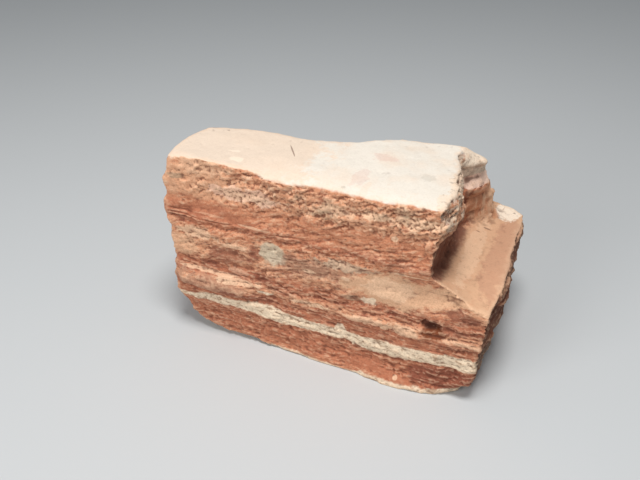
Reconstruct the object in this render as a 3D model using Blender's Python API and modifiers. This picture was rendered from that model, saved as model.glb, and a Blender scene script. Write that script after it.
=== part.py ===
"""A broken block of Jacobsville sandstone, about 24 cm long, as one closed solid.

The stone is bedded red sandstone between two pale bedding planes. Its beds lie flat, so +Z is also
their normal. The upper half is broken away at the right end and leaves a ledge with an undercut wall.

Sizes below are in millimetres, in the stone's drawing frame: x runs along the front face to the
right, y runs into the depth and z runs up. The last step moves the solid so that the middle of its
base is the origin.
"""

import math

import bmesh
import bpy
import numpy as np
from mathutils import Vector, noise

MM = 0.001

# Main sizes of the block
LEFT = -205.0
RIGHT = 29.0
HEIGHT = 146.0
DEPTH = 143.0
LEDGE_HEIGHT = 80.0
# How far the cutter of the break reaches past the stone
CLEARANCE = 30.0
# The share of that cutter's height which lies in the stone
CUT_SHARE = 0.77

# Meshing
BLOCK_CUTS = 35
CUTTER_CUTS = 23
VOXEL = 2.2
MAX_TRIANGLES = 9600
# The underside is cut off this far up, where all of its foot is level
UNDERSIDE_CUT = 0.4

# The left end in x against height: it leans in at the top and is rounded off at the foot
LEFT_END = [(0, -193), (12, -203), (22, -209), (36, -210), (48, -207), (62, -207), (84, -208),
            (90, -208), (97, -210.5), (120, -209.5), (138, -206.5), (146, -204)]
# How far the left end draws in at the front and back corners, against y
LEFT_CORNERS = [(0, 1.5), (14, 0), (28, 0), (44, 4), (54, 7), (80, 12), (110, 20)]

# The right end of the lower beds: its plan line at the ledge, and how it leans in below that
RIGHT_PLAN = [(0, 28), (22, 30), (50, 30.5), (75, 29), (100, 28), (115, 28), (128, 27), (136, 25),
              (142, 22)]
RIGHT_LEAN = [(0, -14), (5, -10.5), (13, -6), (22, -3.2), (38, -0.6), (60, 1.4), (72, 1.2), (80, 0),
              (146, 0)]

# The back: its edge at the top plane and at the height of the ledge, against x
BACK_TOP = [(-205, 50), (-190, 57), (-160, 61), (-130, 61), (-99, 65), (-80, 76), (-64, 86),
            (-41, 91), (-16, 90), (30, 86)]
BACK_LOW = [(-205, 78), (-180, 98), (-135, 104), (-118, 116), (-84, 119), (-64, 130), (-30, 133),
            (-12, 141), (0, 143), (7, 142), (14, 141.5), (21, 140), (26, 135), (30, 131)]
# The share of the way from the low line to the top line, against height
BACK_SLOPE = [(0, 0.06), (14, -0.05), (60, 0), (81, 0), (95, 0.2), (104, 0.25), (112, 0.48),
              (121, 0.6), (132, 0.68), (139, 0.84), (146, 1)]
# How far up or down the benches of that slope lie, against x, so that they don't run level, and the
# heights (from, to, edge below, edge above) between which they do
BENCH_SHIFT = [(-205, 12), (-170, 4), (-150, -12), (-120, -16), (-90, 6), (-50, 12), (-25, 0), (30, 0)]
BENCHES = (60, 125, 20, 20)

# The top plane: how far its front edge sags, how wide that sag is, and its gentle waves
TOP_FRONT_SAG = [(-205, 5), (-190, 1), (-180, -0.5), (-150, 0), (-140, 1.5), (-128, 4.5), (-100, 5.5),
                 (-60, 4), (-30, 4), (-6, 3.5), (30, 3)]
TOP_SAG_WIDTH = 7.0
TOP_BACK_DIP = [(-205, 0), (-160, -0.3), (-130, 0.8), (-110, 0.8), (-84, -1), (-60, -0.5), (-40, 1),
                (-20, 0.3), (30, 0)]
# The depths between which the dip at the back sets in
BACK_DIP_DEPTHS = (20, 60)

# The underside: how far it lifts off the ground at the front, and how much of that is left behind
UNDER_FRONT = [(-205, 19), (-192, 11.5), (-182, 7.5), (-172, 5.5), (-162, 3), (-140, 3), (-130, 1.5),
               (-118, 0), (11, 0), (16, 2), (22, 6), (30, 16)]
UNDER_FADE = [(0, 1), (20, 1), (50, 0.25), (72, 0), (112, 0), (140, 0.5)]
# The foot of the front face: how far the pale base bed reaches out in front, against x
FRONT_FOOT = [(-205, 0), (-130, 0), (-112, 0.5), (-90, 2.8), (-54, 3.4), (-42, 5.8), (-30, 7), (-14, 6.8),
              (8, 3.8), (14, 1.4), (20, -4), (30, -9)]
# The heights between which that foot draws back to the face
FOOT_TOP = (2, 11)

# Relief of the beds against height, the same all round the stone: outward is positive
BED_RELIEF = [(0, 0.8), (5, 1.0), (7, -0.4), (14, 0.3), (19, -0.2), (23, -1.4), (26, 0.9), (31, 1.5),
              (36, 1.0), (39, -0.9), (44, -0.5), (47, 0.6), (52, 0.6), (56, -1.0), (60, -0.3),
              (64, -0.7), (70, 0.3), (79, 0.1), (86, 0.6), (96, 0.4), (100.5, 0.9), (102.5, -0.7),
              (107, -0.3), (113, -0.6), (121, 0.4), (130, 0.8), (139, 0.5), (146, 0)]

# The noise functions start from this, so that the stone is the same each run
NOISE_SEED = 3
# Unevenness: (amount, length along the beds, height across them, offset that makes it differ)
# The beds roll up and down
BED_ROLL = (2.2, 55.0, 55.0, 3.7)
# Each bed stands out by this share of its relief, more in one place and less in another
MEAN_STRENGTH = 0.55
LEAST_STRENGTH = 0.1
BED_STRENGTH = (0.75, 34.0, 15.0, 9.1)
# The broken sides
COARSE = (1.0, 26.0, 10.0, 0.0)
FINE = (0.8, 11.0, 4.5, 5.0)
BLOCKS = (1.0, 33.0, 12.0, 0.0)
CHIPS = (0.45, 15.0, 6.0, 0.0)
# How ragged the rims of the blocks and chips are, and how fine
RAGGEDNESS = 0.35
RAG_FINENESS = 1.7
# The front face broke flatter than the other sides, by this share
FRONT_FLATNESS = 0.3
# The pale planes
WAVES = (0.7, 36.0, 36.0, 1.3)
RIPPLES = (0.3, 14.0, 14.0, 7.7)
# A face lies like a plane where its normal is this near to upright, and is a broken side below that
LYING = (0.45, 0.85)
# A broken side belongs to the front face where its normal points to the front and it is this near it
FACING_FRONT = (0.3, 0.7)
NEAR_FRONT = (10, 16)
# The single forms follow the roll of the beds by this share
FORM_ROLL = 0.5
# The heights over which the relief sets in above the underside, which stays level
RELIEF_FROM = (0.5, 4.0)

# Single forms of the front face: how far each stands out, its place in x and its place in z. A place
# is (from, to, edge below, edge above), where the edges are the widths over which the form fades
FRONT_FORMS = {
    "swelling lens": (3.6, (-196, -152, 8, 30), (46, 51, 8, 9)),
    "thin lens": (1.6, (-66, -16, 8, 8), (45.5, 51.5, 2.5, 2.5)),
    "thin ledge": (1.2, (-182, -112, 12, 12), (99, 101, 1.5, 1.5)),
    "crack under the ledge": (-1.8, (-200, -150, 20, 20), (96, 97.5, 1.5, 1.5)),
    "slanting facet under the overhang": (-6.0, (-12, 4, 52, 12), (87, 89, 27, 5)),
    "small hollow": (-4.5, (-11, -5, 2.5, 2.5), (55, 59, 2, 2)),
    "step back of the upper beds": (-1.5, (-300, -176, 1, 26), (108, 200, 7, 1)),
}

# Wall of the break over the ledge: x against y, at heights from the ledge to the top plane. The
# beds above 118 overhang it, and a shoulder of stone stands out at the back, with a step at 115
WALL = [
    (80, [(-20, -11), (0, -13), (40, -14), (60, -12), (78, -12), (92, -9), (101, -3), (109, 7),
          (124, 6), (136, 1), (160, -2)]),
    (98, [(-20, -9), (0, -9.5), (18, -12), (40, -13), (62, -13), (80, -13), (92, -8), (102, -1),
          (110, 3), (124, 1.5), (134, -2), (160, -4)]),
    (114, [(-20, -8), (0, -9), (18, -11), (40, -11), (60, -12), (78, -15), (86, -12), (98, -4),
           (107, 1), (122, 0), (134, -3), (160, -6)]),
    (116.5, [(-20, -8), (0, -8.5), (18, -7), (40, -8), (60, -9), (76, -16), (86, -15), (98, -8),
             (108, -3), (124, -2), (160, -9)]),
    (120, [(-20, -8), (0, -8), (18, -2.5), (45, -2), (58, -5), (72, -15), (86, -15), (97, -1.5),
           (107, 1), (118, -1), (160, -9)]),
    (134, [(-20, -6), (0, -7), (20, -2.5), (40, -3), (56, -8), (74, -17), (84, -14), (92, -1.5),
           (98, -1), (106, -4.5), (160, -12)]),
    (140, [(-20, -5), (0, -6), (20, -4), (40, -6), (58, -10), (75, -17), (85, -15), (93, -8),
           (102, -13), (160, -14)]),
    (147, [(-20, -5), (0, -6), (20, -5), (40, -8), (60, -12), (76, -17), (86, -17), (93, -15),
           (102, -17), (160, -18)]),
]
# The overhang hangs lower towards the back: by how much, between which depths, and which beds do
OVERHANG_DROP = 5.0
OVERHANG_DEPTHS = (8, 55)
OVERHANG_BEDS = (108, 122, 12, 12)
# Floor of the break: its height against x, at five depths. The front one slopes to the front face
FLOOR = [
    (-3, [(-16, 98), (-9, 95), (5, 87), (14, 80.5), (28, 75), (60, 70)]),
    (24, [(-16, 88), (-9, 86), (4, 82.5), (14, 80.5), (29, 79.5), (60, 78)]),
    (30, [(-16, 87), (-9, 85), (4, 81.5), (12, 79.5), (31, 80.5), (60, 81)]),
    (70, [(-16, 86), (-7, 83.5), (4, 80), (10, 78.5), (32, 80.5), (60, 81)]),
    (105, [(-16, 86), (-4, 83), (6, 80.5), (14, 79), (30, 80), (60, 80)]),
    (150, [(-16, 84), (0, 81), (12, 80.5), (24, 80), (60, 80)]),
]

STONE_COLOUR = (0.45, 0.17, 0.10, 1.0)
STONE_ROUGHNESS = 0.92


def along(points, place):
    """The value at a place on a profile of (place, value) points, straight between them."""
    places, values = zip(*points)
    return float(np.interp(place, places, values))


def across(rows, row_place, place):
    """The value between neighbouring profiles, which are rows of (row place, profile)."""
    heights = [row[0] for row in rows]
    values = [along(row[1], place) for row in rows]
    return float(np.interp(row_place, heights, values))


def blend(start, end, share):
    return start + (end - start) * share


def ease(low, high, value):
    """0 below low, 1 above high and smooth between."""
    share = min(max((value - low) / (high - low), 0.0), 1.0)
    return share * share * (3.0 - 2.0 * share)


def hump(low, high, edge_below, edge_above, value):
    """1 between low and high, falling smoothly to 0 over the edges on both sides."""
    return ease(low - edge_below, low, value) * (1.0 - ease(high, high + edge_above, value))


def front_relief(x, z):
    """How far the single forms stand out of the front face at a place, in mm."""
    return sum(amount * hump(*place_x, x) * hump(*place_z, z)
               for amount, place_x, place_z in FRONT_FORMS.values())


def block_point(u, v, w):
    """A point of the unit cube, moved to the block before it was broken, in mm."""
    z = w * HEIGHT
    x = blend(LEFT, RIGHT, u)
    slope = along(BACK_SLOPE, z + along(BENCH_SHIFT, x) * hump(*BENCHES, z))
    y_front = -along(FRONT_FOOT, x) * (1.0 - ease(*FOOT_TOP, z))
    y_back = blend(along(BACK_LOW, x), along(BACK_TOP, x), slope)
    y = blend(y_front, y_back, v)
    x_left = along(LEFT_END, z) + along(LEFT_CORNERS, y)
    x_right = along(RIGHT_PLAN, y) + along(RIGHT_LEAN, z)
    x = blend(x_left, x_right, u)
    sag = along(TOP_FRONT_SAG, x) * math.exp(-y / TOP_SAG_WIDTH)
    dip = along(TOP_BACK_DIP, x) * ease(*BACK_DIP_DEPTHS, y)
    z_top = HEIGHT - sag - dip
    z_under = along(UNDER_FRONT, x) * along(UNDER_FADE, y)
    return x, y, blend(z_under, z_top, w)


def break_point(u, v, w):
    """A point of the unit cube, moved to the space where the upper beds are broken away, in mm."""
    top = HEIGHT + 1.0
    y = blend(-CLEARANCE, DEPTH + CLEARANCE, v)
    # The lower part of the cutter lies in the stone and takes its wall, the rest is clear above it
    inside = min(w / CUT_SHARE, 1.0)
    above = max(w - CUT_SHARE, 0.0) / (1.0 - CUT_SHARE)
    nominal_z = blend(LEDGE_HEIGHT, top, inside)
    drop = OVERHANG_DROP * ease(*OVERHANG_DEPTHS, y) * hump(*OVERHANG_BEDS, nominal_z)
    beds_z = nominal_z + drop
    x = blend(across(WALL, beds_z, y), RIGHT + CLEARANCE, u)
    z = blend(across(FLOOR, y, x), top, inside) + above * CLEARANCE
    return x, y, z


def warped_cube(name, cuts, shape, collection):
    """A cube primitive cut into a grid, with each point moved by a shape function."""
    mesh = bpy.data.meshes.new(name)
    bm = bmesh.new()
    bmesh.ops.create_cube(bm, size=1.0)
    bmesh.ops.subdivide_edges(bm, edges=bm.edges[:], cuts=cuts, use_grid_fill=True)
    for vertex in bm.verts:
        unit = vertex.co + Vector((0.5, 0.5, 0.5))
        vertex.co = Vector(shape(*unit)) * MM
    bm.to_mesh(mesh)
    bm.free()
    obj = bpy.data.objects.new(name, mesh)
    collection.objects.link(obj)
    return obj


def apply_modifiers(obj):
    """Replaces the object's mesh by the one its modifiers make."""
    graph = bpy.context.evaluated_depsgraph_get()
    graph.update()
    made = bpy.data.meshes.new_from_object(obj.evaluated_get(graph))
    obj.modifiers.clear()
    obj.data = made


def scaled(point, length, height, offset):
    """A place for the noise functions, which change over a distance of about 1."""
    return Vector((point.x / length + offset, point.y / length, point.z / height))


def roughness(point, amount, length, height, offset):
    """Smooth unevenness."""
    return amount * noise.noise(scaled(point, length, height, offset))


def hackle(point, amount, length, height, offset):
    """Stepped fracture: flat patches set in or out, with ragged rims."""
    place = scaled(point, length, height, offset)
    ragged = place + RAGGEDNESS * noise.noise_vector(place * RAG_FINENESS)
    return amount * (2.0 * noise.cell(ragged) - 1.0)


def bed_relief(point, normal):
    """How far the surface stands out at a point, along its normal, in mm."""
    steep = 1.0 - ease(*LYING, abs(normal.z))
    front = ease(*FACING_FRONT, -normal.y) * (1.0 - ease(*NEAR_FRONT, point.y))
    level = Vector((point.x, point.y, 0.0))
    roll = roughness(level, *BED_ROLL)
    strength = max(MEAN_STRENGTH + roughness(point, *BED_STRENGTH), LEAST_STRENGTH)
    beds = along(BED_RELIEF, point.z + roll) * strength
    steps = (hackle(point, *BLOCKS) + hackle(point, *CHIPS)) * blend(1.0, FRONT_FLATNESS, front)
    broken = beds + roughness(point, *COARSE) + roughness(point, *FINE) + steps
    broken += front * front_relief(point.x, point.z + FORM_ROLL * roll)
    plane = roughness(level, *WAVES) + roughness(level, *RIPPLES)
    return blend(plane, broken, steep)


def weather(mesh):
    """Pushes the faces in and out along their normals, bed by bed, and leaves the underside flat."""
    moves = []
    for vertex in mesh.vertices:
        point = vertex.co / MM
        fade = ease(*RELIEF_FROM, point.z)
        moves.append(vertex.normal * bed_relief(point, vertex.normal) * fade * MM)
    for vertex, move in zip(mesh.vertices, moves):
        vertex.co += move


def flatten_underside(mesh):
    """Cuts the underside off along a level plane, so that the stone stands on a true flat."""
    bm = bmesh.new()
    bm.from_mesh(mesh)
    everything = bm.verts[:] + bm.edges[:] + bm.faces[:]
    cut = bmesh.ops.bisect_plane(bm, geom=everything, dist=1e-6, plane_co=(0, 0, UNDERSIDE_CUT * MM),
                                 plane_no=(0, 0, 1), clear_inner=True)
    rim = [item for item in cut["geom_cut"] if isinstance(item, bmesh.types.BMEdge)]
    bmesh.ops.holes_fill(bm, edges=rim, sides=0)
    bmesh.ops.triangulate(bm, faces=[face for face in bm.faces if len(face.verts) > 3])
    bm.to_mesh(mesh)
    bm.free()


def stand_on_origin(obj):
    """Places the object so that the middle of its box stands on the origin."""
    places = np.array([vertex.co for vertex in obj.data.vertices])
    low, high = places.min(axis=0), places.max(axis=0)
    obj.location = (-(low[0] + high[0]) / 2, -(low[1] + high[1]) / 2, -low[2])


def stone_material():
    material = bpy.data.materials.new("red_sandstone")
    material.use_nodes = True
    shader = material.node_tree.nodes["Principled BSDF"]
    shader.inputs["Base Color"].default_value = STONE_COLOUR
    shader.inputs["Roughness"].default_value = STONE_ROUGHNESS
    shader.inputs["Metallic"].default_value = 0.0
    return material


def new_collection(name):
    collection = bpy.data.collections.new(name)
    bpy.context.scene.collection.children.link(collection)
    return collection


def break_upper_beds(stone, collection):
    """Cuts the space over the ledge away."""
    cutter = warped_cube("broken_away", CUTTER_CUTS, break_point, collection)
    cutter.hide_render = True
    cutter.display_type = "WIRE"
    cut = stone.modifiers.new("break", "BOOLEAN")
    cut.operation = "DIFFERENCE"
    cut.object = cutter


def even_mesh(stone):
    """Gives the stone a fine even mesh with slightly softened edges."""
    remesh = stone.modifiers.new("even_mesh", "REMESH")
    remesh.mode = "VOXEL"
    remesh.voxel_size = VOXEL * MM
    soften = stone.modifiers.new("soften", "SMOOTH")
    soften.factor = 0.5
    soften.iterations = 2


def fewer_faces(stone):
    """Rubs the spikes off and keeps only the faces that the shape needs."""
    rub = stone.modifiers.new("rub_off_spikes", "SMOOTH")
    rub.factor = 0.4
    rub.iterations = 1
    thin = stone.modifiers.new("fewer_faces", "DECIMATE")
    triangles = sum(len(face.vertices) - 2 for face in stone.data.polygons)
    thin.ratio = MAX_TRIANGLES / triangles


def build_stone():
    parts = new_collection("jacobsville_sandstone")
    cutters = new_collection("cutters")
    stone = warped_cube("sandstone_block", BLOCK_CUTS, block_point, parts)
    break_upper_beds(stone, cutters)
    even_mesh(stone)
    apply_modifiers(stone)
    weather(stone.data)
    fewer_faces(stone)
    apply_modifiers(stone)
    flatten_underside(stone.data)
    stand_on_origin(stone)
    stone.data.materials.append(stone_material())
    stone.data.shade_flat()


def main():
    for obj in list(bpy.data.objects):
        bpy.data.objects.remove(obj)
    noise.seed_set(NOISE_SEED)
    build_stone()


main()
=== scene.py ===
"""The looks of a broken block of bedded red sandstone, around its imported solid.

One fine mesh stands for the solid: the solid's own surface, with laminae, chips, pits and grain
carved into it. One procedural material colours it bed by bed.

Places on the stone are in millimetres in its drawing frame: x runs along the front face to the
right, y runs into the depth, and z runs up, square to the beds.
"""

import math

import bpy
import numpy as np
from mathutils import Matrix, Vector, noise


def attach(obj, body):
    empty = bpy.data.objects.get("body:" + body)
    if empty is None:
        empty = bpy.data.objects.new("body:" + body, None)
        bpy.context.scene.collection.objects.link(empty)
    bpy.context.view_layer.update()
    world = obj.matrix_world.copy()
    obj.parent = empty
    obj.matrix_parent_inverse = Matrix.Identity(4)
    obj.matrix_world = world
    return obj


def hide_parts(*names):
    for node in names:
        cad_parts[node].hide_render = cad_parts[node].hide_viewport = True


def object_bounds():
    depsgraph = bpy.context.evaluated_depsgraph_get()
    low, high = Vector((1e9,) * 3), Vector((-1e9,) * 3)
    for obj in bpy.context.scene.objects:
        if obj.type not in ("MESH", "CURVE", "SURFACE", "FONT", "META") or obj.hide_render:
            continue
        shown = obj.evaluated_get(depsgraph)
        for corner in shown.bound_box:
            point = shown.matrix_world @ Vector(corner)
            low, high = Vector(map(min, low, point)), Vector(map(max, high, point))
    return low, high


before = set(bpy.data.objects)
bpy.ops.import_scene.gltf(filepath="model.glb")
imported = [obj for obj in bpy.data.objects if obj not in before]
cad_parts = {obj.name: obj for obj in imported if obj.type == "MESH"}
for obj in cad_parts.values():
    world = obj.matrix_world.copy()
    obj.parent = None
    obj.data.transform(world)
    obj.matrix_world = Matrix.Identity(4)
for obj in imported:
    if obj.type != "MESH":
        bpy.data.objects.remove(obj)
cad_low, cad_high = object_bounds()

MM = 0.001
NODE = "sandstone_block"

# The drawing frame's origin, from the corner of the solid's box: how far the left end reaches out
# from it, how far the foot does in front, and how much was cut off level below
LEFT_REACH = 211.25
FOOT_REACH = 6.5
CUT_OFF = 0.4
ORIGIN = Vector((cad_low.x + LEFT_REACH * MM, cad_low.y + FOOT_REACH * MM, cad_low.z - CUT_OFF * MM))
# Nothing is carved at the floor: the carving sets in between these heights
CARVED_FROM = (CUT_OFF + 0.4, CUT_OFF + 3.0)

# The fine mesh: the size of its cells in mm, the most triangles kept, and rounds of smoothing
VOXEL = 0.95
MAX_TRIANGLES = 192000
ROUNDING = 5
# Rounds of averaging for what the material reads: for the normals, for near places, and on top of
# those for wide ones
NORMAL_ROUNDS = 10
NEAR_ROUNDS = 3
WIDE_ROUNDS = 14

# Noise of several octaves: how fast its finer waves fade, and how much finer each one is
FADING = 0.9
FINER = 2.1
# Chips have ragged rims: how far a rim is shifted, as a share of a chip, and how much finer than the
# chips its waves are
RIM_SHIFT = 0.35
RIM_FINER = 1.7

# Where the carving tells level from steep and the front from the rest: by the normal, and by a depth
# in mm, where the front's marks end too
LEVEL_NORMAL = (0.55, 0.85)
FRONT_NORMAL = (0.3, 0.7)
FRONT_DEPTH = (10, 18)
# Where a smooth area and a swelling fade out, as shares of their reach
AREA_RIM = (0.75, 1.15)
SWELLING_RIM = (0.3, 1.0)

# Carving. A form of noise is (amount, length along the beds, height across them, offset)
NOISE_SEED = 5
BED_ROLL = (2.2, 55, 55, 3.7)
LAMINA_WAVE = (1.2, 24, 9, 11.3)
# Above these heights the laminae rise to the right, by this much for each mm
CROSS_FROM = (60, 66)
CROSS_SLOPE = 0.24
THIN_BEDS = (0.34, 70, 4.6, 2.1)
BED_SHARPNESS = 3.0
BANDED = (1.15, 9, 4.0, 4.4)
CRUMBLY = (0.95, 8.0, 5.5, 8.3)
CRUMBLY_ABOVE = (108, 120)
CHIPS = (0.25, 8.0, 3.4, 0.0)
PLATES = [(0.42, 8.5, 4.8, 0.0), (0.26, 4.0, 2.6, 31.0)]
GRAIN = (0.42, 2.8, 2.0, 6.2)
ROUGH_PATCHES = (0.35, 34, 20, 2.9)
# Towards the left end this share of the roughness is taken away
SMOOTH_LEFT_END = (-188, -203)
SMOOTH_END_SHARE = 0.65
# Partings between laminae: (depth, length, height, offset, how wide open)
PARTINGS = [(0.75, 46, 4.2, 1.7, 0.085), (0.45, 26, 2.3, 8.9, 0.10)]
PARTING_PLACES = (1.0, 34, 13, 5.5)
PARTINGS_FROM = (-0.25, 0.25)
# The share of their depth that partings lose in the crumbly beds
CRUMBLY_PARTINGS = 0.5
# Pits lie where this noise rises from the first of these values to the second
PITS = (1.0, 3.8, 2.8, 9.7)
PITS_FROM = (0.42, 0.62)
PIT_DEPTH = 0.8
PLANE_WAVES = (0.45, 19, 19, 1.9)
PLANE_RIPPLES = (0.22, 5.5, 5.5, 7.1)
PLANE_GRAIN = (0.10, 2.0, 2.0, 3.3)
# How rough the front face is against height: crumbly above, banded below
FRONT_ROUGHNESS = [(0, 0.7), (24, 0.9), (27, 0.6), (34, 0.6), (37, 0.8), (60, 1.0), (76, 0.8), (92, 0.9),
                   (100, 0.7), (114, 0.7), (122, 1.1), (146, 1.1)]
# Smooth areas of the front: (x, z, reach in x, reach in z, share of the roughness taken away)
SMOOTH_AREAS = [(-36, 76, 38, 14, 0.7), (-124, 83, 13, 12, 0.3), (-150, 108, 45, 7, 0.4),
                (-165, 50, 36, 9, 0.2), (-186, 132, 32, 17, 0.35)]
# Calm places away from the front: (centre, reach, share of the roughness taken away)
CALM_PLACES = [((-4, 98, 122), (26, 34, 44), 0.85), ((-6, 40, 104), (18, 62, 19), 0.65)]
# Places that swell out: (how far, centre, reach)
SWELLINGS = [(5.2, (-6, 99, 113), (17, 20, 8.5)), (2.4, (-170, 0, 48), (36, 18, 11))]
# At its ends a crack fades out over this length
CRACK_TAPER = 6
# Cracks of the front: (depth, half width, points in x and z)
CRACKS = [
    (1.4, 0.7, [(-208, 97.5), (-190, 98), (-180, 97)]),
    (1.2, 0.6, [(-208, 103), (-192, 103.5), (-183, 102)]),
    (1.3, 0.6, [(-208, 100.5), (-195, 101), (-180, 100), (-165, 99.5), (-149, 100.5)]),
    (1.3, 0.7, [(-125, 99.5), (-112, 101), (-103, 101.5)]),
    (1.4, 1.2, [(-138, 95.5), (-132, 98.5), (-126, 100)]),
    (1.2, 0.8, [(-61, 104), (-52, 105.5), (-43, 105)]),
    (1.4, 1.2, [(-38, 100), (-30, 102.5), (-24, 104)]),
    (1.3, 1.0, [(-21, 95.5), (-9, 96.5)]),
    (1.4, 0.8, [(-32, 91.5), (-18, 92.5), (-8, 92)]),
    (0.9, 0.9, [(-62, 86), (-47, 91)]),
    (1.3, 0.9, [(-140, 57), (-133, 60), (-126, 62)]),
    (1.2, 0.9, [(-184, 60), (-176, 63), (-168, 63)]),
    (1.0, 0.6, [(-93, 56), (-78, 56.5), (-70, 56)]),
    (1.4, 1.0, [(-36, 53), (-26, 54), (-18, 54)]),
    (2.2, 2.6, [(-17, 56.5), (-9, 57), (0, 57.5)]),
    (1.0, 0.7, [(-40, 59), (-20, 59), (-14, 58)]),
    (1.2, 0.8, [(-4, 49), (8, 50.5), (28, 53)]),
    (1.1, 0.7, [(-2, 57), (12, 56), (28, 58)]),
    (1.2, 0.8, [(-55, 21), (-32, 20.5), (-22, 22)]),
    (1.1, 0.8, [(-14, 23.5), (2, 25), (14, 25)]),
    (1.0, 0.7, [(-48, 12), (-34, 10.5), (-18, 12)]),
    (0.8, 0.6, [(-90, 14), (-72, 13.5), (-62, 15)]),
    (0.9, 0.7, [(-132, 10.5), (-118, 11.5), (-108, 12)]),
    (0.8, 0.7, [(-176, 13), (-166, 14)]),
]


def ease(low, high, value):
    """0 at low, 1 at high and smooth between; low may be the larger one."""
    share = np.clip((value - low) / (high - low), 0.0, 1.0)
    return share * share * (3.0 - 2.0 * share)


def along(points, place):
    """The value at places on a profile of (place, value) points."""
    places, values = zip(*points)
    return np.interp(place, places, values)


def places_of(points, length, height, offset):
    """Where the points lie in the noise, which changes over a distance of about 1."""
    return points / (length, length, height) + (offset, 0.0, 0.0)


def waves(points, amount, length, height, offset, octaves=1):
    """Smooth unevenness, about from -amount to amount."""
    places = places_of(points, length, height, offset).tolist()
    if octaves == 1:
        return amount * np.array([noise.noise(place) for place in places])
    return amount * np.array([noise.fractal(place, FADING, FINER, octaves) for place in places])


def chipped(points, amount, length, height, offset):
    """Flat patches set in or out, with ragged rims."""
    places = places_of(points, length, height, offset)
    shifts = np.array([noise.noise_vector(place) for place in (places * RIM_FINER).tolist()])
    ragged = places + RIM_SHIFT * shifts
    return amount * np.array([2.0 * noise.cell(place) - 1.0 for place in ragged.tolist()])


def crack_depth(points, depth, half_width, line):
    """How deep a crack is at points, for a line of (x, z) points on the front face."""
    start, end = line[0][0], line[-1][0]
    x = points[:, 0]
    away = np.abs(points[:, 2] - along(line, x))
    ends = ease(start, start + CRACK_TAPER, x) * (1.0 - ease(end - CRACK_TAPER, end, x))
    return depth * ends * np.exp(-(away / half_width) ** 2)


def roughness(points, front):
    """How strongly the broken beds are carved at each point: 1 is usual and 0 is smooth."""
    x, _, z = points.T
    rough = 1.0 + front * (along(FRONT_ROUGHNESS, z) - 1.0) + waves(points, *ROUGH_PATCHES)
    rough *= 1.0 - SMOOTH_END_SHARE * ease(*SMOOTH_LEFT_END, x)
    for place_x, place_z, reach_x, reach_z, share in SMOOTH_AREAS:
        away = np.hypot((x - place_x) / reach_x, (z - place_z) / reach_z)
        rough *= 1.0 - share * front * (1.0 - ease(*AREA_RIM, away))
    for centre, reach, share in CALM_PLACES:
        away = np.linalg.norm((points - centre) / reach, axis=1)
        rough *= 1.0 - share * (1.0 - front) * (1.0 - ease(*AREA_RIM, away))
    return rough


def broken_beds(points, level_points, front):
    """The relief where the stone is broken: thin beds, laminae, chips, grain, partings and pits."""
    x, _, z = points.T
    beds = points.copy()
    beds[:, 2] += waves(level_points, *BED_ROLL) + waves(points, *LAMINA_WAVE)
    rough = roughness(points, front)

    cross = ease(*CROSS_FROM, z)
    tilted = points - np.outer(CROSS_SLOPE * x, (0, 0, 1))
    broken = np.tanh(BED_SHARPNESS * waves(beds, 1.0, *THIN_BEDS[1:])) * THIN_BEDS[0]
    level_banded = waves(beds, *BANDED, octaves=3)
    banded = level_banded + (waves(tilted, *BANDED, octaves=3) - level_banded) * cross
    banded += chipped(beds, *CHIPS)
    crumbly = waves(tilted, *CRUMBLY, octaves=4) + sum(chipped(tilted, *plates) for plates in PLATES)
    broken += banded + (crumbly - banded) * ease(*CRUMBLY_ABOVE, beds[:, 2])
    broken += waves(points, *GRAIN, octaves=2)

    here = ease(*PARTINGS_FROM, waves(points, *PARTING_PLACES))
    here *= 1.0 - CRUMBLY_PARTINGS * ease(*CRUMBLY_ABOVE, beds[:, 2])
    for depth, length, height, offset, opening in PARTINGS:
        line = waves(beds, 1.0, length, height, offset)
        line += (waves(tilted, 1.0, length, height, offset) - line) * cross
        broken -= depth * here * np.exp(-(line / opening) ** 2)
    broken -= PIT_DEPTH * ease(*PITS_FROM, waves(points, *PITS))
    return broken * rough


def swelling(points):
    swollen = np.zeros(len(points))
    for amount, centre, reach in SWELLINGS:
        away = np.linalg.norm((points - centre) / reach, axis=1)
        swollen += amount * (1.0 - ease(*SWELLING_RIM, away))
    return swollen


def relief(points, normals):
    """How far the surface stands out at each point, in mm."""
    steep = 1.0 - ease(*LEVEL_NORMAL, np.abs(normals[:, 2]))
    front = ease(*FRONT_NORMAL, -normals[:, 1]) * (1.0 - ease(*FRONT_DEPTH, points[:, 1]))
    level_points = points * (1, 1, 0)
    broken = broken_beds(points, level_points, front)
    for depth, half_width, line in CRACKS:
        broken -= front * crack_depth(points, depth, half_width, line)

    plane = waves(level_points, *PLANE_WAVES) + waves(level_points, *PLANE_RIPPLES, octaves=3)
    plane += waves(points, *PLANE_GRAIN)
    return plane + (broken - plane) * steep + swelling(points)


def mesh_arrays(mesh):
    """The places and normals of a mesh's vertices in the drawing frame, in mm."""
    count = len(mesh.vertices)
    places = np.zeros(count * 3, np.float32)
    normals = np.zeros(count * 3, np.float32)
    mesh.vertices.foreach_get("co", places)
    mesh.vertices.foreach_get("normal", normals)
    points = (places.reshape(-1, 3).astype(float) - np.array(ORIGIN)) / MM
    return points, normals.reshape(-1, 3).astype(float)


def set_points(mesh, points):
    """Moves a mesh's vertices to places in the drawing frame, kept inside the solid's box."""
    places = points * MM + np.array(ORIGIN)
    places = np.clip(places, np.array(cad_low), np.array(cad_high))
    mesh.vertices.foreach_set("co", places.astype(np.float32).ravel())
    mesh.update()


def apply_modifiers(obj):
    graph = bpy.context.evaluated_depsgraph_get()
    graph.update()
    made = bpy.data.meshes.new_from_object(obj.evaluated_get(graph))
    obj.modifiers.clear()
    obj.data = made


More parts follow.
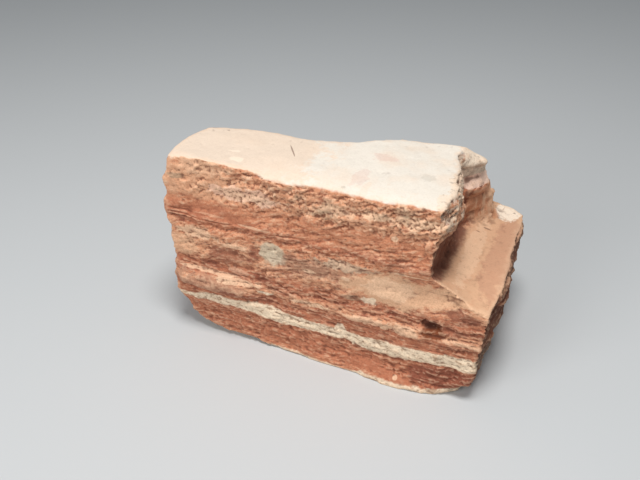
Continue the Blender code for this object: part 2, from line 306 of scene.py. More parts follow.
def averaged(mesh, values, rounds):
    """Values of the vertices, averaged with their neighbours' some times over."""
    ends = np.zeros(len(mesh.edges) * 2, np.int32)
    mesh.edges.foreach_get("vertices", ends)
    a, b = ends.reshape(-1, 2).T
    count = np.bincount(ends, minlength=len(values))[:, None] + 1.0
    for _ in range(rounds):
        total = values.copy()
        for column in range(values.shape[1]):
            total[:, column] += np.bincount(a, values[b, column], len(values))
            total[:, column] += np.bincount(b, values[a, column], len(values))
        values = total / count
    return values


def store(mesh, name, values):
    """Keeps a number for each vertex, which the material reads by that name."""
    attribute = mesh.attributes.new(name, "FLOAT", "POINT")
    attribute.data.foreach_set("value", values.astype(np.float32))


def store_fields(mesh):
    """What the material reads of the shape: how level it lies, how it faces, and where it is hollow."""
    points, normals = mesh_arrays(mesh)
    smooth_normals = averaged(mesh, normals, NORMAL_ROUNDS)
    smooth_normals /= np.linalg.norm(smooth_normals, axis=1, keepdims=True) + 1e-9
    store(mesh, "lie", smooth_normals[:, 2])
    store(mesh, "facing_front", -smooth_normals[:, 1])
    near = averaged(mesh, points, NEAR_ROUNDS)
    wide = averaged(mesh, near, WIDE_ROUNDS)
    store(mesh, "hollow", np.einsum("ij,ij->i", near - points, smooth_normals))
    store(mesh, "dip", np.einsum("ij,ij->i", wide - points, smooth_normals))


def build_stone():
    stone = bpy.data.objects.new("sandstone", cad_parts[NODE].data.copy())
    bpy.context.scene.collection.objects.link(stone)
    remesh = stone.modifiers.new("fine_mesh", "REMESH")
    remesh.mode = "VOXEL"
    remesh.voxel_size = VOXEL * MM
    rounding = stone.modifiers.new("rounding", "SMOOTH")
    rounding.factor = 0.5
    rounding.iterations = ROUNDING
    apply_modifiers(stone)

    points, normals = mesh_arrays(stone.data)
    out = relief(points, normals) * ease(*CARVED_FROM, points[:, 2])
    set_points(stone.data, points + normals * out[:, None])

    thin = stone.modifiers.new("fewer_faces", "DECIMATE")
    triangles = sum(len(face.vertices) - 2 for face in stone.data.polygons)
    thin.ratio = min(1.0, MAX_TRIANGLES / triangles)
    apply_modifiers(stone)
    set_points(stone.data, mesh_arrays(stone.data)[0])
    store_fields(stone.data)
    stone.data.shade_smooth()
    return stone


# Colours, as linear red, green and blue
CREAM = (0.71, 0.64, 0.55)
PEACH = (0.72, 0.56, 0.43)
SALMON = (0.60, 0.28, 0.155)
TAN = (0.66, 0.39, 0.235)
PALE_TAN = (0.76, 0.50, 0.325)
PINK = (0.68, 0.38, 0.25)
ORANGE_RED = (0.55, 0.22, 0.115)
RED = (0.43, 0.155, 0.082)
DEEP_RED = (0.24, 0.072, 0.042)
PALE_PINK = (0.84, 0.55, 0.40)
# A pink lighter than the stone's own, for painted light on the shaded ledge in the back corner.
LIT_LEDGE_PINK = (0.96, 0.67, 0.52)
MAUVE = (0.60, 0.33, 0.27)
DUSKY_PINK = (0.54, 0.29, 0.18)
BROWN = (0.12, 0.043, 0.027)
ORANGE = (0.50, 0.19, 0.085)
GREY_CREAM = (0.52, 0.40, 0.28)
GREY_PINK = (0.37, 0.195, 0.125)
GREY_GREEN = (0.26, 0.22, 0.15)
BAND_LIGHT = (0.80, 0.65, 0.47)
BAND_DARK = (0.41, 0.28, 0.185)
BLEACHED = (0.92, 0.76, 0.60)
LIGHT_SALMON = (0.70, 0.37, 0.215)
# A deep red for the wall under the overhang, darker than its own red: painted shade.
SHADED_WALL_RED = (0.19, 0.075, 0.048)
RUST = (0.21, 0.062, 0.026)
DARK_GRAIN = (0.25, 0.165, 0.11)
PALE_GRAIN = (0.76, 0.60, 0.45)
# A name for the mixture of both grains, which the material makes
SPECKLED = "speckled"

# Colour of the beds against height. The red of the lowest beds is partly painted shade: darker than
# their own red, for the dimmer light low on the front
BED_COLOURS = [(0, ORANGE_RED), (10, RED), (18, RED), (25, RED), (38, RED), (44, RED), (51, SALMON),
               (56, RED), (62, RED), (70, SALMON), (80, SALMON), (94, ORANGE_RED), (99, RED),
               (106, ORANGE_RED), (116, ORANGE_RED), (122, SALMON), (134, SALMON), (147, ORANGE_RED)]
# Share of pale and of dark patches against height
PALE_PATCHES = [(-10, 0.1), (20, 0.15), (36, 0.25), (60, 0.3), (74, 0.55), (90, 0.5), (98, 0.2),
                (114, 0.2), (122, 0.8), (150, 0.8)]
DARK_PATCHES = [(-10, 0.6), (25, 0.6), (60, 0.75), (74, 0.6), (92, 0.6), (100, 0.65), (114, 0.5),
                (124, 0.65), (150, 0.65)]

# The pale band, and the pale foot of the front face: x against the lowest and the highest place
PALE_BAND = [(-212, 31, 32.2), (-198, 30, 33), (-190, 29.5, 32), (-180, 29.5, 36), (-165, 29, 34.5),
             (-150, 30, 36.5), (-138, 28.5, 38.5), (-125, 25.5, 38), (-108, 26, 35.5), (-95, 26, 34),
             (-77, 26, 34), (-75, 26, 38), (-70, 26, 38), (-68, 25, 33.5), (-50, 22, 33.5),
             (-30, 22, 33.5), (-8, 25, 34.5), (26, 27, 37), (40, 27, 37)]
PALE_FOOT = [(-212, -9, -4), (-140, -9, -4), (-130, -6, 3.6), (-108, -6, 2.8), (-80, -6, 2.2),
             (-62, -6, 2.0), (-55, -6, 4.2), (-45, -6, 4.6), (-30, -6, 3.2), (-10, -6, 4.2),
             (8, -6, 6), (16, -9, 6), (22, -9, -4), (40, -9, -4)]

# Marks: (colour, centre, reach, strength, raggedness)
FRONT_MARKS = [
    (LIGHT_SALMON, (-178, 0, 130), (34, 14, 18), 0.65, 1.2),
    (PALE_PINK, (-145, 0, 125), (27, 14, 5.5), 0.6, 1.8),
    (PALE_TAN, (-142, 0, 125), (17, 14, 3.4), 0.5, 2.2),
    (PALE_TAN, (-176, 0, 140), (20, 14, 6), 0.35, 1.4),
    (PALE_TAN, (-48, 0, 131), (10, 14, 3), 0.8, 1.4),
    (PALE_TAN, (-22, 0, 132), (16, 14, 3.6), 0.75, 1.4),
    (PALE_TAN, (-76, 0, 129), (12, 14, 4), 0.6, 1.6),
    (GREY_GREEN, (-33, 0, 137.5), (9, 12, 3), 0.4, 1.6),
    (GREY_GREEN, (-84, 0, 124), (9, 12, 3), 0.35, 1.8),
    (GREY_GREEN, (-196, 0, 130), (7, 12, 2), 0.5, 1.4),
    (DEEP_RED, (-192, 0, 100), (15, 14, 6), 0.55, 1.0),
    (RED, (-172, 0, 104), (34, 14, 8), 0.75, 1.5),
    # Thin pale lines on a small ledge of the beds: painted highlight where its top faces the light.
    (PALE_TAN, (-137, 0, 102), (13, 12, 0.9), 0.5, 1.0),
    (PALE_TAN, (-170, 0, 104), (10, 12, 0.8), 0.3, 1.0),
    (PALE_TAN, (-183, 0, 87), (16, 14, 4.5), 0.7, 1.5),
    (PALE_TAN, (-153, 0, 83), (12, 14, 2.2), 0.6, 1.5),
    (TAN, (-196, 0, 75), (12, 14, 9), 0.6, 1.2),
    (DEEP_RED, (-160, 0, 73), (15, 14, 6), 0.6, 1.8),
    (DEEP_RED, (-176, 0, 63), (8, 14, 3), 0.6, 1.5),
    (DEEP_RED, (-133, 0, 60), (8, 14, 3), 0.7, 1.5),
    (PINK, (-152, 0, 61), (8, 14, 3), 0.5, 1.5),
    (DEEP_RED, (-136, 0, 81), (6, 14, 6), 0.6, 1.6),
    (DEEP_RED, (-120, 0, 71), (10, 14, 2.4), 0.5, 1.6),
    (GREY_CREAM, (-123.5, 0, 83.5), (10.0, 14, 9.6), 1.0, 0.7),
    (BAND_LIGHT, (-124, 0, 81), (7.5, 14, 6.5), 0.6, 1.5),
    (DEEP_RED, (-107, 0, 84.5), (8, 12, 2.4), 0.6, 1.2),
    (GREY_PINK, (-80, 0, 82), (26, 14, 8), 0.5, 1.6),
    (GREY_PINK, (-98, 0, 80), (18, 14, 9), 0.5, 1.6),
    (GREY_CREAM, (-68, 0, 88), (20, 14, 4), 0.6, 1.6),
    (TAN, (-34, 0, 76), (34, 16, 12), 0.95, 1.2),
    (PALE_TAN, (-40, 0, 77), (16, 16, 8), 0.6, 1.6),
    (PALE_TAN, (-24, 0, 90), (13, 12, 1.2), 0.9, 0.8),
    (PALE_TAN, (-95, 0, 77), (5, 12, 1.6), 0.8, 1.2),
    (PALE_TAN, (-69, 0, 79), (3, 12, 1.6), 0.8, 1.2),
    (GREY_GREEN, (-64, 0, 64), (7, 12, 2.4), 0.4, 1.4),
    (BAND_LIGHT, (-52.5, 0, 64), (5.5, 12, 3.6), 0.75, 1.8),
    (DEEP_RED, (10, 0, 69), (12, 14, 5), 0.7, 1.4),
    (TAN, (4, 0, 82.5), (14, 20, 7), 1.0, 0.6),
    # Painted highlight: a thin pale line along the top edge of the swelling lens.
    (PALE_TAN, (-174, 0, 57.0), (26, 12, 1.3), 0.7, 0.8),
    (GREY_PINK, (-176, 0, 47), (34, 12, 8), 0.65, 1.5),
    # More painted highlight along the lens's top edge.
    (PALE_TAN, (-152, 0, 54.0), (18, 12, 2.4), 0.75, 1.2),
    # Painted shade: deep red under the swelling lens.
    (DEEP_RED, (-146, 0, 42), (20, 12, 3), 0.75, 1.2),
    # The end of the painted highlight along the lens's top edge.
    (BAND_LIGHT, (-130, 0, 49.5), (6, 12, 1.2), 0.85, 0.8),
    (PALE_TAN, (-95, 0, 49.5), (16, 12, 1.8), 0.85, 1.2),
    (PALE_TAN, (-56, 0, 49), (16, 12, 3.2), 0.6, 1.6),
    (PALE_TAN, (-26, 0, 47), (14, 12, 4.4), 0.7, 1.4),
    (PALE_TAN, (16, 0, 48), (14, 12, 1.8), 0.5, 1.4),
    (DEEP_RED, (2, 0, 55), (14, 16, 3.4), 0.6, 1.0),
    (RUST, (-7, 0, 51), (8.5, 14, 4.2), 1.0, 0.5),
    # Brown in the small hollow beside the rusty patch: painted shade.
    (BROWN, (-9, 0, 57), (6, 16, 4.2), 0.95, 0.3),
    # Red and deep red over the lowest beds: their own red, darkened further as painted shade for the
    # dimmer light near the foot.
    (RED, (-20, 0, 12), (60, 14, 9), 0.85, 1.2),
    (RED, (-105, 0, 15), (50, 14, 8), 0.7, 1.4),
    (DEEP_RED, (8, 0, 14), (30, 14, 10), 0.85, 1.2),
    (PALE_TAN, (-29.5, 0, 7), (1.7, 14, 1.5), 0.75, 0.6),
    (PALE_TAN, (-37, 0, 117.5), (2.4, 14, 2.0), 0.8, 0.9),
]
TOP_MARKS = [
    (PEACH, (-175, 30, 146), (75, 70, 14), 0.8, 0.8),
    (BLEACHED, (-152, 12, 146), (5, 3, 8), 0.45, 2.2),
    (BLEACHED, (-160, 22, 146), (7, 2, 8), 0.45, 2.2),
    (MAUVE, (-62, 50, 146), (8, 6, 8), 0.26, 2.0),
    (MAUVE, (-68, 20, 146), (4, 12, 8), 0.22, 2.4),
    (PEACH, (-60, 8, 146), (3, 8, 8), 0.4, 1.4),
    (GREY_GREEN, (-27, 35, 146), (5, 4, 8), 0.16, 2.4),
    (GREY_GREEN, (-74, 6, 146), (1.6, 1.2, 8), 0.3, 0.8),
    (SPECKLED, (-8, 45, 142), (5, 60, 9), 0.6, 2.2),
    (SPECKLED, (-6, 93, 141), (14, 15, 9), 0.9, 0.8),
    # Paler over the speckled remnant: painted light where the overhang shades it.
    (BLEACHED, (-6, 93, 141), (14, 15, 9), 0.45, 1.6),
]
LEDGE_MARKS = [
    (PALE_TAN, (2, 62, 81), (6, 52, 9), 0.55, 1.4),
    (DUSKY_PINK, (22, 70, 80), (10, 60, 9), 0.75, 1.2),
    (BLEACHED, (15, 128, 80), (10, 13, 9), 1.0, 1.0),
    (ORANGE, (3, 118, 80), (6, 7, 9), 0.6, 1.4),
    (BROWN, (5, 97, 80), (3, 1.0, 5), 0.6, 1.0),
    (BROWN, (0, 89, 80), (2.5, 0.9, 5), 0.6, 1.0),
]
WALL_MARKS = [
    # The wall under the overhang: its own red, darkened with painted shade.
    (SHADED_WALL_RED, (-8, 42, 98), (18, 56, 26), 0.85, 0.6),
    (SPECKLED, (-16, 40, 136), (14, 62, 14), 0.8, 1.6),
    (SPECKLED, (-8, 94, 132), (15, 20, 14), 0.9, 0.8),
    # Paler over the speckled remnant: painted light where the overhang shades it.
    (BLEACHED, (-6, 93, 136), (15, 17, 14), 0.45, 1.6),
    # The small pink ledge, lightened beyond its own pink: painted light where the overhang shades it.
    (LIT_LEDGE_PINK, (-6, 99, 119), (17, 20, 5), 1.0, 0.6),
    (SALMON, (0, 108, 98), (18, 26, 14), 0.85, 1.0),
]
# The thin crack of the top, as a mark without its colour. It runs to the left by the slant for each
# mm into the depth, and its first number is the x where its line would cross y = 0
TOP_CRACK = ((-98.5, 38.4, 146), (0.7, 7.5, 8), 0.6, 0.4)
TOP_CRACK_SLANT = 0.66
# Where pale drips run down the wall at the back of the break, as such a mark too
DRIP_PLACE = ((2, 110, 92), (18, 26, 14), 0.7, 0.6)

# Noise in the material: (length along the beds, height across them, offset, detail, roughness)
BED_WAVE = (30, 12, 3.1, 3.0)
PALE_STREAKS = (16, 4, 7.7, 4.0, 0.65)
PALE_LUMPS = (8, 5, 7.7, 4.0, 0.7)
DARK_STREAKS = (24, 2.0, 2.2, 4.0, 0.6)
DARK_CROSS_STREAKS = (13, 2.8, 2.2, 4.0, 0.65)
DARK_LUMPS = (8, 4, 2.2, 4.0, 0.7)
LAMINAE = (9, 1.1, 9.4, 3.0, 0.6)
CROSS_LAMINAE = (5, 1.7, 9.4, 3.0, 0.65)
FINE_RAG = (4.0, 2.6, 4.2, 4.0, 0.65)
WIDE_RAG = (14.0, 8.0, 6.6, 2.0)
SPECKS = (1.3, 1.1, 1.1, 2.0, 0.7)
BUMP_GRAIN = (0.9, 0.8, 2.7, 3.0, 0.65)

# Patches set in between these values of the noise
PATCHES_FROM = (0.50, 0.66)
DARK_LAMINAE_FROM = (0.54, 0.66)
PALE_LAMINAE_FROM = (0.46, 0.36)
# Patterns: (noise, the value where it sets in, the value where it is full)
FINE_SPOTS = ((4.5, 2.4, 5.1, 3.0, 0.6), 0.55, 0.72)
DARK_GRAINS = ((3.6, 2.8, 3.4, 3.0, 0.65), 0.48, 0.66)
DRIPS = ((3.2, 28.0, 6.1, 2.0), 0.48, 0.60)
BAND_SPOTS = ((6, 2.6, 8.8, 3.0, 0.65), 0.48, 0.66)
TOP_TINT = ((22, 22, 1.8, 3.0, 0.55), 0.45, 0.70)
LEDGE_SMUDGES = ((8, 8, 5.7, 4.0, 0.65), 0.50, 0.68)
LEDGE_FLECKS = ((2.2, 2.2, 7.9, 2.0, 0.6), 0.63, 0.70)
# How much the specks darken and lighten the colour, against their noise
SPECK_SHADES = [(0.30, (0.72, 0.68, 0.66)), (0.5, (1.0, 1.0, 1.0)), (0.72, (1.18, 1.2, 1.22))]

# Where each part of the stone sets in, from the first place to the second, in mm
BEHIND_FRONT = (20.0, 30.0)
WALL_FROM = (-30.0, -24.0)
RIGHT_END_FROM = (14.0, 22.0)
TOP_ABOVE = (125.0, 131.0)
LEDGE_ABOVE = (70.0, 76.0)
LEDGE_BELOW = (105.0, 99.0)
LEDGE_FROM = (-10.0, -4.0)
# How much it has to face the front, or to face away from it
FACING_FRONT = (0.2, 0.5)
WALL_FACING = (0.6, 0.3)
END_FACING = (0.55, 0.25)
# How level it has to lie, where 1 is level and -1 is the underside
LEVEL_FROM = (0.45, 0.75)
LEDGE_LEVEL_FROM = (0.16, 0.34)
UNDERSIDE_FROM = (-0.6, -0.9)
# How deep hollows are where painted shade sets in, how steep and how deep wider dips are where it
# deepens, and how far a place stands out where it turns paler, in mm apart from the steepness
HOLLOW_FROM = (0.05, 0.45)
STEEP_BELOW = (0.8, 0.3)
DIP_FROM = (0.2, 1.4)
STANDING_OUT_FROM = (0.05, 0.4)

# What a change of 1 in the noise does: how many mm it moves the beds and ragged edges, and how much
# it adds to how level a place counts
BED_ROLL_REACH = 5.0
RAGGED_REACH = 3.5
LEDGE_RAGGED_REACH = 6.0
LEVEL_RAGGED = 0.35
LEDGE_LEVEL_RAGGED = 0.2
# Half the width of a soft edge: of the pale band and of the pale foot in mm
BAND_EDGE = 0.7
FOOT_EDGE = 0.8
# Where a mark fades out, as a share of its reach
MARK_RIM = (1.12, 0.88)

# How strongly each colour lies over the one below
DARK_LAMINAE_SHARE = 0.7
PALE_LAMINAE_SHARE = 0.45
FINE_SPOTS_SHARE = 0.7
BAND_SHARE = 0.92
# The pale foot lies at less than full share, which keeps it darker: painted shade for the dim light near
# the floor.
FOOT_SHARE = 0.85
RIGHT_END_SHADE_SHARE = 0.82
TOP_TINT_SHARE = 0.45
SMUDGES_SHARE = 0.35
FLECKS_SHARE = 0.45
HOLLOW_SHADE_SHARE = 0.55
DIP_SHADE_SHARE = 0.35
STANDING_OUT_PALE_SHARE = 0.3
# The share of the laminae's colour that the crumbly beds lose
CRUMBLY_LAMINAE = 0.6
# The specks' share on steep and on level places
SPECKS_SHARES = (0.65, 0.2)

# The finest grain is bump, of this strength and this height in mm, and the stone is dull all over
BUMP_STRENGTH = 0.5
BUMP_HEIGHT = 0.35
ROUGHNESS = 0.92
SPECULAR = 0.25


class Graph:
    """Short ways to add shader nodes. Each method but put gives back the socket with its result."""

    def __init__(self, material):
        self.nodes = material.node_tree.nodes
        self.links = material.node_tree.links
        self.paints = {}

    def put(self, socket, value):
        if isinstance(value, bpy.types.NodeSocket):
            self.links.new(value, socket)
        elif isinstance(value, tuple) and socket.type == "RGBA":
            socket.default_value = (*value, 1.0)
        else:
            socket.default_value = value

    def math(self, operation, *values):
        node = self.nodes.new("ShaderNodeMath")
        node.operation = operation
        for socket, value in zip(node.inputs, values):
            self.put(socket, value)
        return node.outputs[0]

    def vector(self, operation, *values):
        node = self.nodes.new("ShaderNodeVectorMath")
        node.operation = operation
        for socket, value in zip(node.inputs, values):
            self.put(socket, value)
        return node.outputs["Value" if operation == "LENGTH" else "Vector"]

    def ease(self, low, high, value):
        node = self.nodes.new("ShaderNodeMapRange")
        node.interpolation_type = "SMOOTHSTEP"
        self.put(node.inputs["Value"], value)
        self.put(node.inputs["From Min"], low)
        self.put(node.inputs["From Max"], high)
        return node.outputs["Result"]

    def mix(self, share, below, above, blend="MIX"):
        node = self.nodes.new("ShaderNodeMix")
        node.data_type = "RGBA"
        node.blend_type = blend
        # The node has sockets for each kind of value: the share is 0, and 6, 7 and result 2 are colours
        self.put(node.inputs[0], share)
        self.put(node.inputs[6], below)
        self.put(node.inputs[7], above)
        return node.outputs[2]

    def paint(self, colour, paint, *shares):
        """A colour with another one over it, by the product of some shares."""
        share = shares[0]
        for factor in shares[1:]:
            share = self.math("MULTIPLY", share, factor)
        return self.mix(share, colour, paint)

    def blend(self, share, below, above):
        """A number between two others."""
        difference = self.math("SUBTRACT", above, below)
        return self.math("MULTIPLY_ADD", share, difference, below)

    def attribute(self, name):
        node = self.nodes.new("ShaderNodeAttribute")
        node.attribute_name = name
        return node.outputs["Fac"]

    def noise(self, place, length, height, offset=0.0, detail=2.0, roughness=0.5):
        scaled = self.vector("MULTIPLY_ADD", place, (1 / length, 1 / length, 1 / height), (offset, 0, 0))
        node = self.nodes.new("ShaderNodeTexNoise")
        self.put(node.inputs["Vector"], scaled)
        node.inputs["Scale"].default_value = 1.0
        node.inputs["Detail"].default_value = detail
        node.inputs["Roughness"].default_value = roughness
        return node.outputs["Fac"]

    def pattern(self, place, pattern):
        noise_form, low, high = pattern
        return self.ease(low, high, self.noise(place, *noise_form))

    def ramp(self, value, stops, smooth=True):
        node = self.nodes.new("ShaderNodeValToRGB")
        node.color_ramp.interpolation = "EASE" if smooth else "LINEAR"
        elements = node.color_ramp.elements
        while len(elements) < len(stops):
            elements.new(0.5)
        for element, (place, colour) in zip(elements, stops):
            element.position = place
            element.color = (*colour, 1.0)
        self.put(node.inputs["Fac"], value)
        return node.outputs["Color"]

    def profile(self, place, points, start, end, low, high):
        """The value at a place on a profile of (place, value) points between start and end."""
        node = self.nodes.new("ShaderNodeFloatCurve")
        curve = node.mapping.curves[0]
        spots = [((x - start) / (end - start), (value - low) / (high - low)) for x, value in points]
        while len(curve.points) < len(spots):
            curve.points.new(0.5, 0.5)
        for point, spot in zip(curve.points, spots):
            point.location = spot
            point.handle_type = "VECTOR"
        node.mapping.update()
        share = self.math("MULTIPLY_ADD", place, 1 / (end - start), -start / (end - start))
        self.put(node.inputs["Value"], share)
        return self.math("MULTIPLY_ADD", node.outputs["Value"], high - low, low)


# The reach of the profiles in x and in z, and the height that the colours of the beds are spread over
X_RANGE = (-212, 40)
Z_RANGE = (-10, 150)
BED_SCALE = 150.0


def band_mask(graph, x, height, band, edge):
    """1 inside a band between a lowest and a highest profile, against x."""
    low = graph.profile(x, [(place, lowest) for place, lowest, _ in band], *X_RANGE, *Z_RANGE)
    high = graph.profile(x, [(place, highest) for place, _, highest in band], *X_RANGE, *Z_RANGE)
    above = graph.ease(-edge, edge, graph.math("SUBTRACT", height, low))
    below = graph.ease(-edge, edge, graph.math("SUBTRACT", high, height))
    return graph.math("MULTIPLY", above, below)


def mark_mask(graph, place, ragged, centre, reach, strength, raggedness):
    """A soft-edged patch with a ragged outline."""
    inverse = tuple(1 / size for size in reach)
    shifted = tuple(-middle / size for middle, size in zip(centre, reach))
    away = graph.vector("LENGTH", graph.vector("MULTIPLY_ADD", place, inverse, shifted))
    away = graph.math("MULTIPLY_ADD", ragged, raggedness, away)
    return graph.math("MULTIPLY", graph.ease(*MARK_RIM, away), strength)


class Surface:
    """What the material knows of each point of the stone."""

    def __init__(self, graph):
        coordinates = graph.nodes.new("ShaderNodeTexCoord")
        offset = graph.vector("SUBTRACT", coordinates.outputs["Object"], tuple(ORIGIN))
        self.place = graph.vector("MULTIPLY", offset, (1 / MM, 1 / MM, 1 / MM))
        parts = graph.nodes.new("ShaderNodeSeparateXYZ")
        graph.put(parts.inputs[0], self.place)
        self.x, self.y, self.z = parts.outputs
        self.lie = graph.attribute("lie")
        self.facing_front = graph.attribute("facing_front")
        self.hollow = graph.attribute("hollow")
        self.dip = graph.attribute("dip")

        wave = graph.math("SUBTRACT", graph.noise(self.place, *BED_WAVE), 0.5)
        self.height = graph.math("MULTIPLY_ADD", wave, BED_ROLL_REACH, self.z)
        self.crumbly = graph.ease(*CRUMBLY_ABOVE, self.height)
        rags = graph.math("ADD", graph.noise(self.place, *FINE_RAG), graph.noise(self.place, *WIDE_RAG))
        self.ragged = graph.math("SUBTRACT", rags, 1.0)
        self.ragged_height = graph.math("MULTIPLY_ADD", self.ragged, RAGGED_REACH, self.z)
        ragged_lie = graph.math("MULTIPLY_ADD", self.ragged, LEVEL_RAGGED, self.lie)
        self.level = graph.ease(*LEVEL_FROM, ragged_lie)


def with_marks(graph, at, colour, marks, where):
    """A colour with marks over it, as far as a mask lets them show."""
    for mark_colour, centre, reach, strength, raggedness in marks:
        mark_colour = graph.paints.get(mark_colour, mark_colour)
        mask = mark_mask(graph, at.place, at.ragged, centre, reach, strength, raggedness)
        colour = graph.paint(colour, mark_colour, mask, where)
    return colour


def bedded_colour(graph, at):
    """Beds with wavy boundaries, mottled: drawn out along the beds below, in round patches above."""
    stops = [(height / BED_SCALE, colour) for height, colour in BED_COLOURS]
    colour = graph.ramp(graph.math("DIVIDE", at.height, BED_SCALE), stops)
    pale_share = graph.profile(at.z, PALE_PATCHES, *Z_RANGE, 0, 1)
    dark_share = graph.profile(at.z, DARK_PATCHES, *Z_RANGE, 0, 1)

    rise = graph.nodes.new("ShaderNodeCombineXYZ")
    graph.put(rise.inputs["Z"], graph.math("MULTIPLY", at.x, CROSS_SLOPE))
    tilted = graph.vector("SUBTRACT", at.place, rise.outputs[0])
    cross = graph.ease(*CROSS_FROM, at.z)
    level_streaks = graph.noise(at.place, *DARK_STREAKS)
    streaks = graph.blend(cross, level_streaks, graph.noise(tilted, *DARK_CROSS_STREAKS))
    laminae = graph.blend(cross, graph.noise(at.place, *LAMINAE), graph.noise(tilted, *CROSS_LAMINAE))
    pale_streaks = graph.noise(at.place, *PALE_STREAKS)
    pale = graph.blend(at.crumbly, pale_streaks, graph.noise(at.place, *PALE_LUMPS))
    dark = graph.blend(at.crumbly, streaks, graph.noise(tilted, *DARK_LUMPS))

    colour = graph.paint(colour, PALE_TAN, graph.ease(*PATCHES_FROM, pale), pale_share)
    colour = graph.paint(colour, DEEP_RED, graph.ease(*PATCHES_FROM, dark), dark_share)
    laminar = graph.math("SUBTRACT", 1.0, graph.math("MULTIPLY", at.crumbly, CRUMBLY_LAMINAE))
    dark_laminae = graph.ease(*DARK_LAMINAE_FROM, laminae)
    colour = graph.paint(colour, DEEP_RED, dark_laminae, laminar, DARK_LAMINAE_SHARE)
    pale_laminae = graph.ease(*PALE_LAMINAE_FROM, laminae)
    colour = graph.paint(colour, PALE_TAN, pale_laminae, laminar, PALE_LAMINAE_SHARE)
    spots = graph.pattern(at.place, FINE_SPOTS)
    return graph.paint(colour, PALE_TAN, spots, pale_share, FINE_SPOTS_SHARE)


def marked_sides(graph, at, colour):
    """The single marks of the front and of the wall over the ledge, and the drips on that wall."""
    facing = graph.ease(*FACING_FRONT, at.facing_front)
    on_front = graph.math("MULTIPLY", facing, graph.ease(*FRONT_DEPTH[::-1], at.y))
    colour = with_marks(graph, at, colour, FRONT_MARKS, on_front)
    turned_away = graph.ease(*WALL_FACING, at.facing_front)
    off_front = graph.math("MAXIMUM", turned_away, graph.ease(*BEHIND_FRONT, at.y))
    on_wall = graph.math("MULTIPLY", graph.ease(*WALL_FROM, at.x), off_front)
    colour = with_marks(graph, at, colour, WALL_MARKS, on_wall)
    drip_place = mark_mask(graph, at.place, at.ragged, *DRIP_PLACE)
    return graph.paint(colour, PALE_TAN, graph.pattern(at.place, DRIPS), drip_place, on_wall)


def top_colour(graph, at):
    """The pale top, with its stains and its one crack."""
    colour = graph.paint(CREAM, PEACH, graph.pattern(at.place, TOP_TINT), TOP_TINT_SHARE)
    colour = with_marks(graph, at, colour, TOP_MARKS, 1.0)
    slanted = graph.nodes.new("ShaderNodeCombineXYZ")
    graph.put(slanted.inputs["X"], graph.math("MULTIPLY_ADD", at.y, TOP_CRACK_SLANT, at.x))
    graph.put(slanted.inputs["Y"], at.y)
    graph.put(slanted.inputs["Z"], at.z)
    return graph.paint(colour, BROWN, mark_mask(graph, slanted.outputs[0], at.ragged, *TOP_CRACK))


def ledge_colour(graph, at):
    """The tan ledge, with its smudges, marks and flecks."""
    colour = graph.paint(TAN, SALMON, graph.pattern(at.place, LEDGE_SMUDGES), SMUDGES_SHARE)
    colour = with_marks(graph, at, colour, LEDGE_MARKS, 1.0)
    return graph.paint(colour, GREY_PINK, graph.pattern(at.place, LEDGE_FLECKS), FLECKS_SHARE)


def with_planes(graph, at, colour, band_colour):
    """Painted shade on the right end, and the level planes: the pale top, the tan ledge and the pale
    foot.
    """
    # The right end, turned from the light, is painted towards brown: painted shade.
    turned_away = graph.ease(*END_FACING, at.facing_front)
    at_right = graph.ease(*RIGHT_END_FROM, at.x)
    colour = graph.paint(colour, BROWN, at_right, turned_away, RIGHT_END_SHADE_SHARE)
    colour = graph.paint(colour, top_colour(graph, at), at.level, graph.ease(*TOP_ABOVE, at.z))

    above = graph.ease(*LEDGE_ABOVE, at.z)
    ledge_heights = graph.math("MULTIPLY", above, graph.ease(*LEDGE_BELOW, at.z))
    ledge_x = graph.math("MULTIPLY_ADD", at.ragged, LEDGE_RAGGED_REACH, at.x)
    on_ledge = graph.math("MULTIPLY", ledge_heights, graph.ease(*LEDGE_FROM, ledge_x))
    ragged_lie = graph.math("MULTIPLY_ADD", at.ragged, LEDGE_LEVEL_RAGGED, at.lie)
    ledge_level = graph.ease(*LEDGE_LEVEL_FROM, ragged_lie)
    colour = graph.paint(colour, ledge_colour(graph, at), ledge_level, on_ledge)

    front_foot = band_mask(graph, at.x, at.ragged_height, PALE_FOOT, FOOT_EDGE)
    foot = graph.math("MAXIMUM", front_foot, graph.ease(*UNDERSIDE_FROM, at.lie))
    return graph.paint(colour, band_colour, foot, FOOT_SHARE)


def with_painted_shade_and_grain(graph, at, colour):
    """Painted shade in the hollows and in wider dips, paler where it stands out, and grain."""
    # Brown in the hollows and deep red in steep, wider dips are painted shade; what stands out is paler.
    colour = graph.paint(colour, BROWN, graph.ease(*HOLLOW_FROM, at.hollow), HOLLOW_SHADE_SHARE)
    steep = graph.ease(*STEEP_BELOW, at.lie)
    colour = graph.paint(colour, DEEP_RED, graph.ease(*DIP_FROM, at.dip), steep, DIP_SHADE_SHARE)
    standing_out_pale = graph.ease(*STANDING_OUT_FROM, graph.math("MULTIPLY", at.hollow, -1.0))
    colour = graph.paint(colour, PALE_TAN, standing_out_pale, STANDING_OUT_PALE_SHARE)
    shade = graph.ramp(graph.noise(at.place, *SPECKS), SPECK_SHADES, smooth=False)
    return graph.mix(graph.blend(at.level, *SPECKS_SHARES), colour, shade, blend="MULTIPLY")


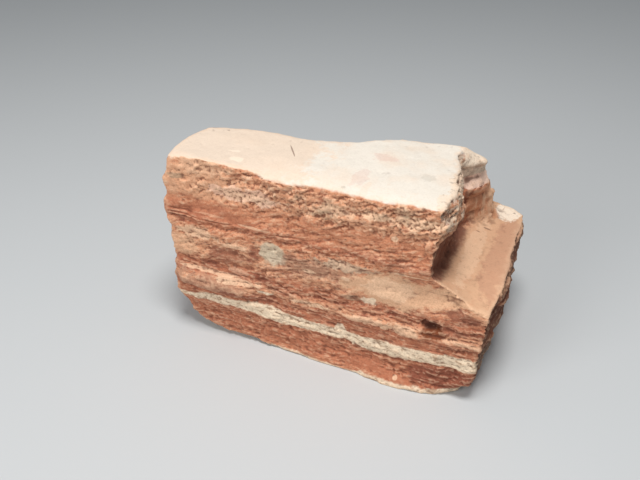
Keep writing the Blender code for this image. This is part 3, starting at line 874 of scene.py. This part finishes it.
def stone_material():
    """Layers of colour from the beds outwards, and a fine bump."""
    material = bpy.data.materials.new("red_sandstone")
    material.use_nodes = True
    graph = Graph(material)
    shader = graph.nodes["Principled BSDF"]
    at = Surface(graph)
    graph.paints[SPECKLED] = graph.mix(graph.pattern(at.place, DARK_GRAINS), PALE_GRAIN, DARK_GRAIN)

    colour = marked_sides(graph, at, bedded_colour(graph, at))
    band_colour = graph.mix(graph.pattern(at.place, BAND_SPOTS), BAND_LIGHT, BAND_DARK)
    band = band_mask(graph, at.x, at.ragged_height, PALE_BAND, BAND_EDGE)
    colour = graph.paint(colour, band_colour, band, BAND_SHARE)
    colour = with_planes(graph, at, colour, band_colour)
    graph.put(shader.inputs["Base Color"], with_painted_shade_and_grain(graph, at, colour))

    bump = graph.nodes.new("ShaderNodeBump")
    bump.inputs["Strength"].default_value = BUMP_STRENGTH
    bump.inputs["Distance"].default_value = BUMP_HEIGHT * MM
    graph.put(bump.inputs["Height"], graph.noise(at.place, *BUMP_GRAIN))
    graph.put(shader.inputs["Normal"], bump.outputs["Normal"])
    shader.inputs["Roughness"].default_value = ROUGHNESS
    shader.inputs["Specular IOR Level"].default_value = SPECULAR
    return material


# The view of the photograph: the lens and the width of the frame in pixels, the camera's place in
# the drawing frame, and its angles in degrees
LENS_PIXELS = 738
FRAME_PIXELS = 640
SENSOR_WIDTH = 36.0
CAMERA_PLACE = (71.5, -376, 365)
LOOKING_DOWN = 32.5
TURNED = 22.9

# The studio, in metres. Lights: (name, place, size, power)
LIGHTS = [("key", (0.13, -0.28, 1.1), 0.40, 9.8), ("fill", (-0.6, -1.4, 0.7), 0.9, 12.5)]
LIT_PLACE = (0, 0, 0.07)
HALF_FLOOR = 3.0
FLOOR_COLOUR = (0.55, 0.56, 0.56, 1)
FLOOR_ROUGHNESS = 0.9
SKY_COLOUR = (0.9, 0.95, 1.0, 1)
SKY_STRENGTH = 0.28


def add_camera():
    data = bpy.data.cameras.new("camera")
    camera = bpy.data.objects.new("camera", data)
    bpy.context.scene.collection.objects.link(camera)
    data.sensor_width = SENSOR_WIDTH
    data.lens = SENSOR_WIDTH * LENS_PIXELS / FRAME_PIXELS
    camera.location = Vector(CAMERA_PLACE) * MM + ORIGIN
    camera.rotation_euler = (math.radians(90 - LOOKING_DOWN), 0, math.radians(TURNED))
    bpy.context.scene.camera = camera


def add_light(name, place, size, power):
    data = bpy.data.lights.new(name, "AREA")
    data.shape = "DISK"
    data.size = size
    data.energy = power
    light = bpy.data.objects.new(name, data)
    bpy.context.scene.collection.objects.link(light)
    light.location = place
    light.rotation_euler = (Vector(LIT_PLACE) - Vector(place)).to_track_quat("-Z", "Y").to_euler()


def add_studio():
    mesh = bpy.data.meshes.new("floor")
    corners = [(x * HALF_FLOOR, y * HALF_FLOOR, 0) for x, y in ((-1, -1), (1, -1), (1, 1), (-1, 1))]
    mesh.from_pydata(corners, [], [(0, 1, 2, 3)])
    floor = bpy.data.objects.new("floor", mesh)
    bpy.context.scene.collection.objects.link(floor)
    paint = bpy.data.materials.new("floor_paint")
    paint.use_nodes = True
    shader = paint.node_tree.nodes["Principled BSDF"]
    shader.inputs["Base Color"].default_value = FLOOR_COLOUR
    shader.inputs["Roughness"].default_value = FLOOR_ROUGHNESS
    mesh.materials.append(paint)

    for light in LIGHTS:
        add_light(*light)
    world = bpy.data.worlds.new("studio")
    world.use_nodes = True
    sky = world.node_tree.nodes["Background"]
    sky.inputs["Color"].default_value = SKY_COLOUR
    sky.inputs["Strength"].default_value = SKY_STRENGTH
    bpy.context.scene.world = world
    bpy.context.scene.view_settings.view_transform = "Standard"


noise.seed_set(NOISE_SEED)
add_camera()
add_studio()
stone = build_stone()
stone.data.materials.clear()
stone.data.materials.append(stone_material())
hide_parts(NODE)
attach(stone, "root")
